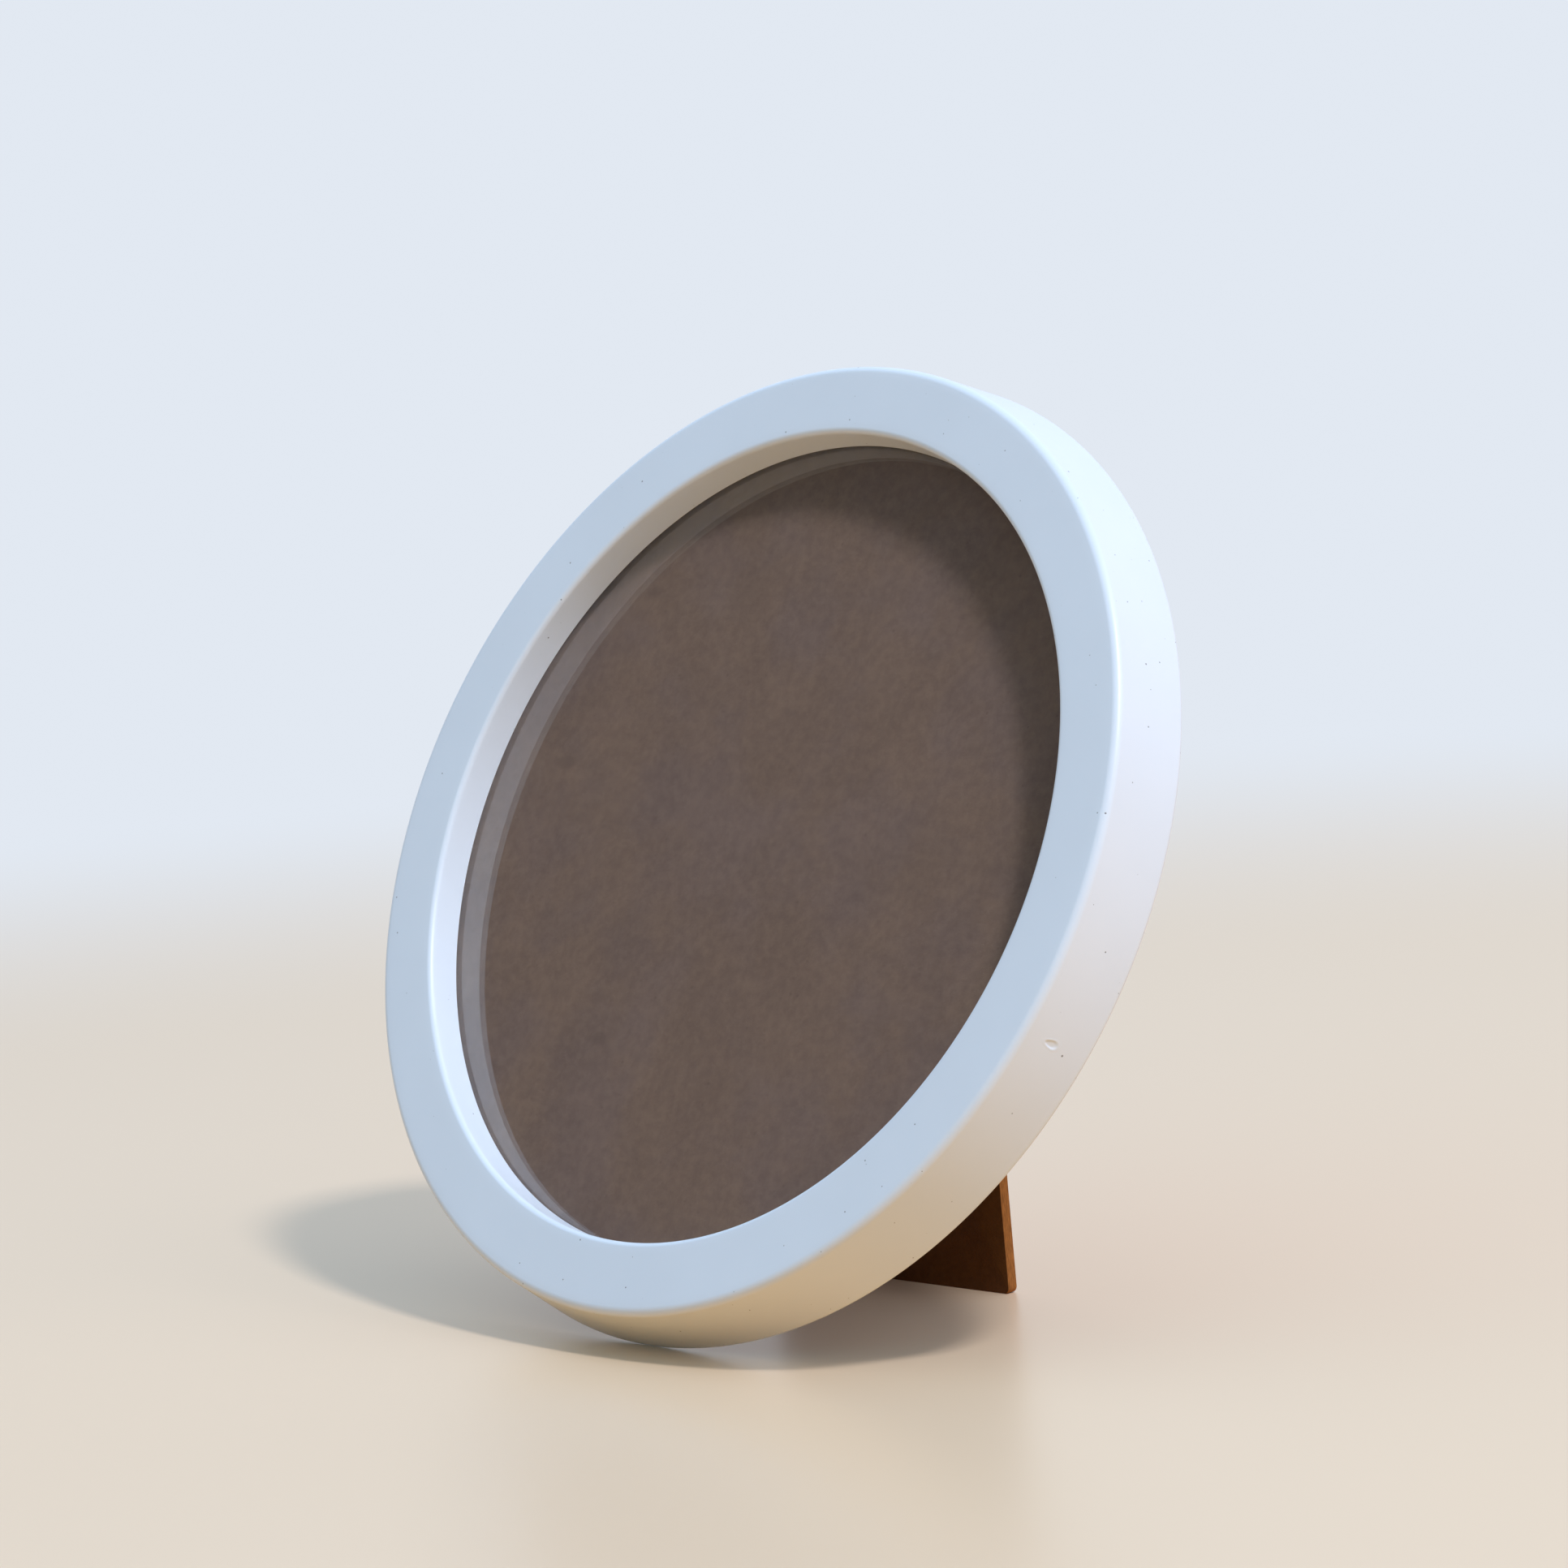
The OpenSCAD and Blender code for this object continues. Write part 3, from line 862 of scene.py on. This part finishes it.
class PHOTOFRAME_OT_glass(bpy.types.Operator):
    """Build the glass"""

    bl_idname = "photo_frame.glass"
    bl_label = "Glass"

    def execute(self, context):
        """The pane is its half section carried round the ring's axis, with an arris on
        both edges: radius r and depth d at each angle."""
        size = settings("glass")
        far = size.front + size.thickness
        section = np.array(
            [
                [0.0, size.front],
                [size.radius / 2, size.front],
                [size.radius - size.arris, size.front],
                [size.radius, size.front + size.arris],
                [size.radius, far - size.arris],
                [size.radius - size.arris, far],
                [size.radius / 2, far],
                [0.0, far],
            ]
        )
        angle = np.linspace(0, 2 * math.pi, 256, endpoint=False)[:, None]
        radius, depth = section[None, :, 0], section[None, :, 1]
        points = in_ring(radius * np.cos(angle), radius * np.sin(angle), depth)
        piece = grid_mesh("glass_pane", points, smooth=20.0)
        placed(piece, glass_material(), "frame", "clear_glass", "glass_pane")
        return {"FINISHED"}


class PHOTOFRAME_OT_back(bpy.types.Operator):
    """Finish the hardboard back"""

    bl_idname = "photo_frame.back"
    bl_label = "Back"

    def execute(self, context):
        """The CAD disc keeps its shape and gets a pressed-fibre finish."""
        look = settings("board")
        reach = look.back_thickness / 2
        half = (-(look.back_front + reach), reach)
        material = hardboard_material(
            "hardboard back", look.back, look.back_dark, ring_vector, half, look.cut
        )
        for place in frame["nodes"]["backing_board"].material_slots:
            place.material = material
        return {"FINISHED"}


class PHOTOFRAME_OT_strut(bpy.types.Operator):
    """Build the strut"""

    bl_idname = "photo_frame.strut"
    bl_label = "Strut"

    def execute(self, context):
        """The strut is its outline drawn together towards a point in its middle: at share
        s of the way out and height h through the sheet it is middle + s * (outline -
        middle), with a small quarter round where face and edge meet."""
        look = settings("board")
        foot, top, up = self.reach()
        outline = rounded_outline(
            [
                (-look.foot_width / 2, foot),
                (look.foot_width / 2, foot),
                (look.top_width / 2, top),
                (-look.top_width / 2, top),
            ],
            [look.foot_round, look.foot_round, look.top_round, look.top_round],
        )
        middle = np.array([0.0, (foot + top) / 2])
        soft = look.edge_round
        front, rear = -up, look.strut_thickness - up
        bend = np.radians(np.linspace(0, 90, 5))
        inset = np.concatenate(
            [[1.0, 0.5], soft * (1 - np.sin(bend)), soft * (1 - np.cos(bend)), [0.5, 1.0]]
        )
        level = np.concatenate(
            [
                [front, front],
                front + soft * (1 - np.cos(bend)),
                rear - soft * (1 - np.sin(bend)),
                [rear, rear],
            ]
        )
        away = outline - middle
        reach = np.linalg.norm(away, axis=1)[:, None]
        share_out = np.where(inset[None, :] < 0.4, 1 - inset[None, :] / reach, 1 - inset)
        flat = middle + away[:, None, :] * share_out[..., None]
        points = in_strut(flat[..., 0], flat[..., 1], level[None, :])
        piece = grid_mesh("strut_board", points)
        centre = -(front + rear) / 2
        material = hardboard_material(
            "hardboard strut",
            look.strut,
            look.strut_dark,
            strut_vector,
            (centre, look.strut_thickness / 2),
            look.cut,
            shine=0.2,
        )
        placed(piece, material, "strut", "strut_hardboard", "strut")
        return {"FINISHED"}

    def reach(self):
        """Foot and top of the strut along its length from the pin, and how far its front
        face lies in front of the pin, read from the CAD node."""
        mesh = frame["nodes"]["strut"].data
        points = np.empty(len(mesh.vertices) * 3)
        mesh.vertices.foreach_get("co", points)
        local = points.reshape(-1, 3) - PIN
        along = math.cos(OPEN_ANGLE) * UPWARD - math.sin(OPEN_ANGLE) * TO_BACK
        behind = math.sin(OPEN_ANGLE) * UPWARD + math.cos(OPEN_ANGLE) * TO_BACK
        ahead = -(local @ behind).min()
        front = local[(local @ behind) < -ahead + 0.1 * MM]
        return (front @ along).min(), (front @ along).max(), ahead


class PHOTOFRAME_OT_hinge(bpy.types.Operator):
    """Finish the hinge, its pin and its rivets"""

    bl_idname = "photo_frame.hinge"
    bl_label = "Hinge"

    def execute(self, context):
        """The CAD pieces keep their shape and get broken edges and a plated finish."""
        look = settings("metal")
        sheet = metal_material("hinge sheet", look.sheet, look.sheet_dull, ring_vector)
        turned = metal_material("strut hinge sheet", look.sheet, look.sheet_dull, strut_vector)
        bright = metal_material("rivets", look.screw, look.sheet_dull, ring_vector, 0.26)
        for cad_node, body, slot, material, width in (
            ("hinge_board_leaf", "frame", "hinge_steel", sheet, look.bevel),
            ("hinge_strut_leaf", "strut", "hinge_steel", turned, look.bevel),
            ("board_rivets", "frame", "rivet_steel", bright, look.bevel / 2),
            ("strut_rivets", "strut", "rivet_steel", bright, look.bevel / 2),
            ("hinge_pin", "frame", "rivet_steel", bright, look.bevel),
        ):
            piece = softened(cad_node + "_finished", cad_node, width)
            placed(piece, material, body, slot, cad_node)
        return {"FINISHED"}


class PHOTOFRAME_OT_turn_buttons(bpy.types.Operator):
    """Finish the turn buttons and their screws"""

    bl_idname = "photo_frame.turn_buttons"
    bl_label = "Turn buttons"

    def execute(self, context):
        """The CAD pieces keep their shape and get broken edges and a plated finish."""
        look = settings("metal")
        stamped = metal_material("turn buttons", look.button, look.sheet_dull, ring_vector)
        bright = metal_material("screws", look.screw, look.sheet_dull, ring_vector, 0.24)
        for number in range(1, len(BUTTONS) + 1):
            name = f"turn_button_{number}"
            piece = softened(name + "_finished", name, look.bevel)
            placed(piece, stamped, name, "button_steel", name)
        piece = softened("turn_button_screws_finished", "turn_button_screws", look.bevel / 2)
        placed(piece, bright, "frame", "screw_steel", "turn_button_screws")
        return {"FINISHED"}


class PHOTOFRAME_OT_studio(bpy.types.Operator):
    """Build the floor, the lamps, the backdrop and the camera"""

    bl_idname = "photo_frame.studio"
    bl_label = "Studio"

    def execute(self, context):
        look = settings("studio")
        self.add_floor(look)
        self.add_room(context.scene, look)
        self.add_lamps(look)
        self.add_camera(context.scene, look)
        context.scene.view_settings.view_transform = "Standard"
        return {"FINISHED"}

    def seen(self, tree):
        """One where a ray comes from the camera, a reflection or a clear piece."""
        light = node(tree, "ShaderNodeLightPath")
        mirrored = calc(
            tree,
            "MAXIMUM",
            light.outputs["Is Glossy Ray"],
            light.outputs["Is Transmission Ray"],
        )
        return calc(tree, "MAXIMUM", light.outputs["Is Camera Ray"], mirrored)

    def add_floor(self, look):
        """A wide flat floor that passes into the backdrop with distance."""
        reach = np.linspace(0, 6.0, 4)[None, :]
        angle = np.linspace(0, 2 * math.pi, 64, endpoint=False)[:, None]
        points = np.stack(
            [reach * np.cos(angle), reach * np.sin(angle), np.zeros((64, 4))], axis=-1
        )
        floor = grid_mesh("floor", points)
        floor.location.z = -0.05 * MM
        material, tree, shader = new_material(
            "pale floor", Roughness=0.32, Specular_IOR_Level=0.35
        )
        thrown = node(tree, "ShaderNodeLightPath").outputs["Is Diffuse Ray"]
        tint = blended(tree, thrown, solid(look.floor), solid(look.bounce))
        tree.links.new(tint, shader.inputs["Base Color"])
        place = node(tree, "ShaderNodeTexCoord").outputs["Object"]
        far = node(tree, "ShaderNodeVectorMath", {0: place}, operation="LENGTH")
        glow = node(tree, "ShaderNodeEmission", {"Color": solid(look.backdrop), "Strength": 1.0})
        fade = spread(tree, far.outputs["Value"], 0.45, 1.1)
        far_off = calc(tree, "MULTIPLY", fade, self.seen(tree))
        mixed = node(
            tree, "ShaderNodeMixShader", {0: far_off, 1: shader.outputs[0], 2: glow.outputs[0]}
        )
        tree.links.new(mixed.outputs[0], tree.nodes["Material Output"].inputs["Surface"])
        floor.data.materials.append(material)

    def add_room(self, scene, look):
        """A pale room. The camera, glass and metal see the backdrop, with one dim corner.
        The light itself is cool from the front, warm from low down there, paler from
        above and behind, and weaker towards the floor."""
        world = bpy.data.worlds.new("room")
        scene.world = world
        world.use_nodes = True
        tree = world.node_tree
        seen = self.seen(tree)
        direction = node(tree, "ShaderNodeTexCoord").outputs["Generated"]
        facing = node(
            tree,
            "ShaderNodeVectorMath",
            {0: direction, 1: DIM_CORNER.normalized()},
            operation="DOT_PRODUCT",
        )
        far_corner = spread(tree, facing.outputs["Value"], 0.80, 0.97)
        pale = blended(tree, far_corner, solid(look.backdrop), solid(look.corner))
        height = node(tree, "ShaderNodeSeparateXYZ", {"Vector": direction}).outputs["Z"]
        level = spread(tree, height, 0.0, 0.7, 0.45 * look.sky, look.sky)
        strength = node(tree, "ShaderNodeMix", {0: seen, 2: level, 3: 1.0}).outputs[0]
        front = node(
            tree,
            "ShaderNodeVectorMath",
            {0: direction, 1: (0.0, -1.0, 0.0)},
            operation="DOT_PRODUCT",
        )
        ahead = spread(tree, front.outputs["Value"], -0.1, 0.8)
        raised = spread(tree, height, 0.0, 0.32)
        before = blended(tree, raised, solid(look.horizon), solid(look.room))
        lit = blended(tree, ahead, solid(look.overhead), before)
        tint = blended(tree, seen, lit, pale)
        background = tree.nodes["Background"]
        tree.links.new(tint, background.inputs["Color"])
        tree.links.new(strength, background.inputs["Strength"])

    def add_lamps(self, look):
        """A large soft lamp at the right, a little behind the frame, and a small one above
        at the right; both are aimed at the frame's middle."""
        for name, place, size, power in (
            ("window", (3.20, 0.86, 2.83), (2.4, 2.4), look.window),
            ("ceiling", (2.88, -0.32, 4.12), (0.55, 0.55), look.ceiling),
        ):
            data = bpy.data.lights.new(name, "AREA")
            data.shape, data.size, data.size_y = "RECTANGLE", *size
            data.energy = power
            data.color = look.daylight
            lamp = bpy.data.objects.new(name, data)
            bpy.context.scene.collection.objects.link(lamp)
            lamp.location = place
            aim = LAMP_AIM - Vector(place)
            lamp.rotation_euler = aim.to_track_quat("-Z", "Y").to_euler()

    def add_camera(self, scene, look):
        """The camera stands to the right in front of the frame, a little above it."""
        data = bpy.data.cameras.new("camera")
        data.lens, data.sensor_width = look.lens, 36.0
        data.clip_start, data.clip_end = 0.01, 50.0
        camera = bpy.data.objects.new("camera", data)
        scene.collection.objects.link(camera)
        right = CAMERA_RIGHT.normalized()
        back = right.cross(CAMERA_UP).normalized()
        turn = Matrix((right, back.cross(right), back)).transposed()
        camera.matrix_world = Matrix.Translation(CAMERA_PLACE) @ turn.to_4x4()
        scene.camera = camera


OPERATORS = (
    PHOTOFRAME_OT_ring,
    PHOTOFRAME_OT_glass,
    PHOTOFRAME_OT_back,
    PHOTOFRAME_OT_strut,
    PHOTOFRAME_OT_hinge,
    PHOTOFRAME_OT_turn_buttons,
    PHOTOFRAME_OT_studio,
)


class PhotoFrameSettings(bpy.types.PropertyGroup):
    """All settings of the frame."""

    ring: PointerProperty(type=RingSettings)
    glass: PointerProperty(type=GlassSettings)
    board: PointerProperty(type=BoardSettings)
    metal: PointerProperty(type=MetalSettings)
    studio: PointerProperty(type=StudioSettings)


class PHOTOFRAME_PT_panel(bpy.types.Panel):
    """Settings and buttons of the photo frame"""

    bl_label = "Photo frame"
    bl_space_type = "VIEW_3D"
    bl_region_type = "UI"
    bl_category = "Photo frame"

    def draw(self, context):
        for name, kind in SETTINGS.items():
            column = self.layout.column(align=True)
            column.label(text=name.capitalize())
            for key in kind.__annotations__:
                column.prop(settings(name), key)
        for operator in OPERATORS:
            self.layout.operator(operator.bl_idname)


CLASSES = (*SETTINGS.values(), PhotoFrameSettings, *OPERATORS, PHOTOFRAME_PT_panel)


def register():
    """Makes the settings, operators and panel known."""
    for kind in CLASSES:
        bpy.utils.register_class(kind)
    bpy.types.Scene.photo_frame = PointerProperty(type=PhotoFrameSettings)


def unregister():
    """Takes them away again."""
    del bpy.types.Scene.photo_frame
    for kind in reversed(CLASSES):
        bpy.utils.unregister_class(kind)


def main():
    """Builds the frame."""
    register()
    for operator in OPERATORS:
        family, name = operator.bl_idname.split(".")
        getattr(getattr(bpy.ops, family), name)()


if __name__ == "__main__":
    main()
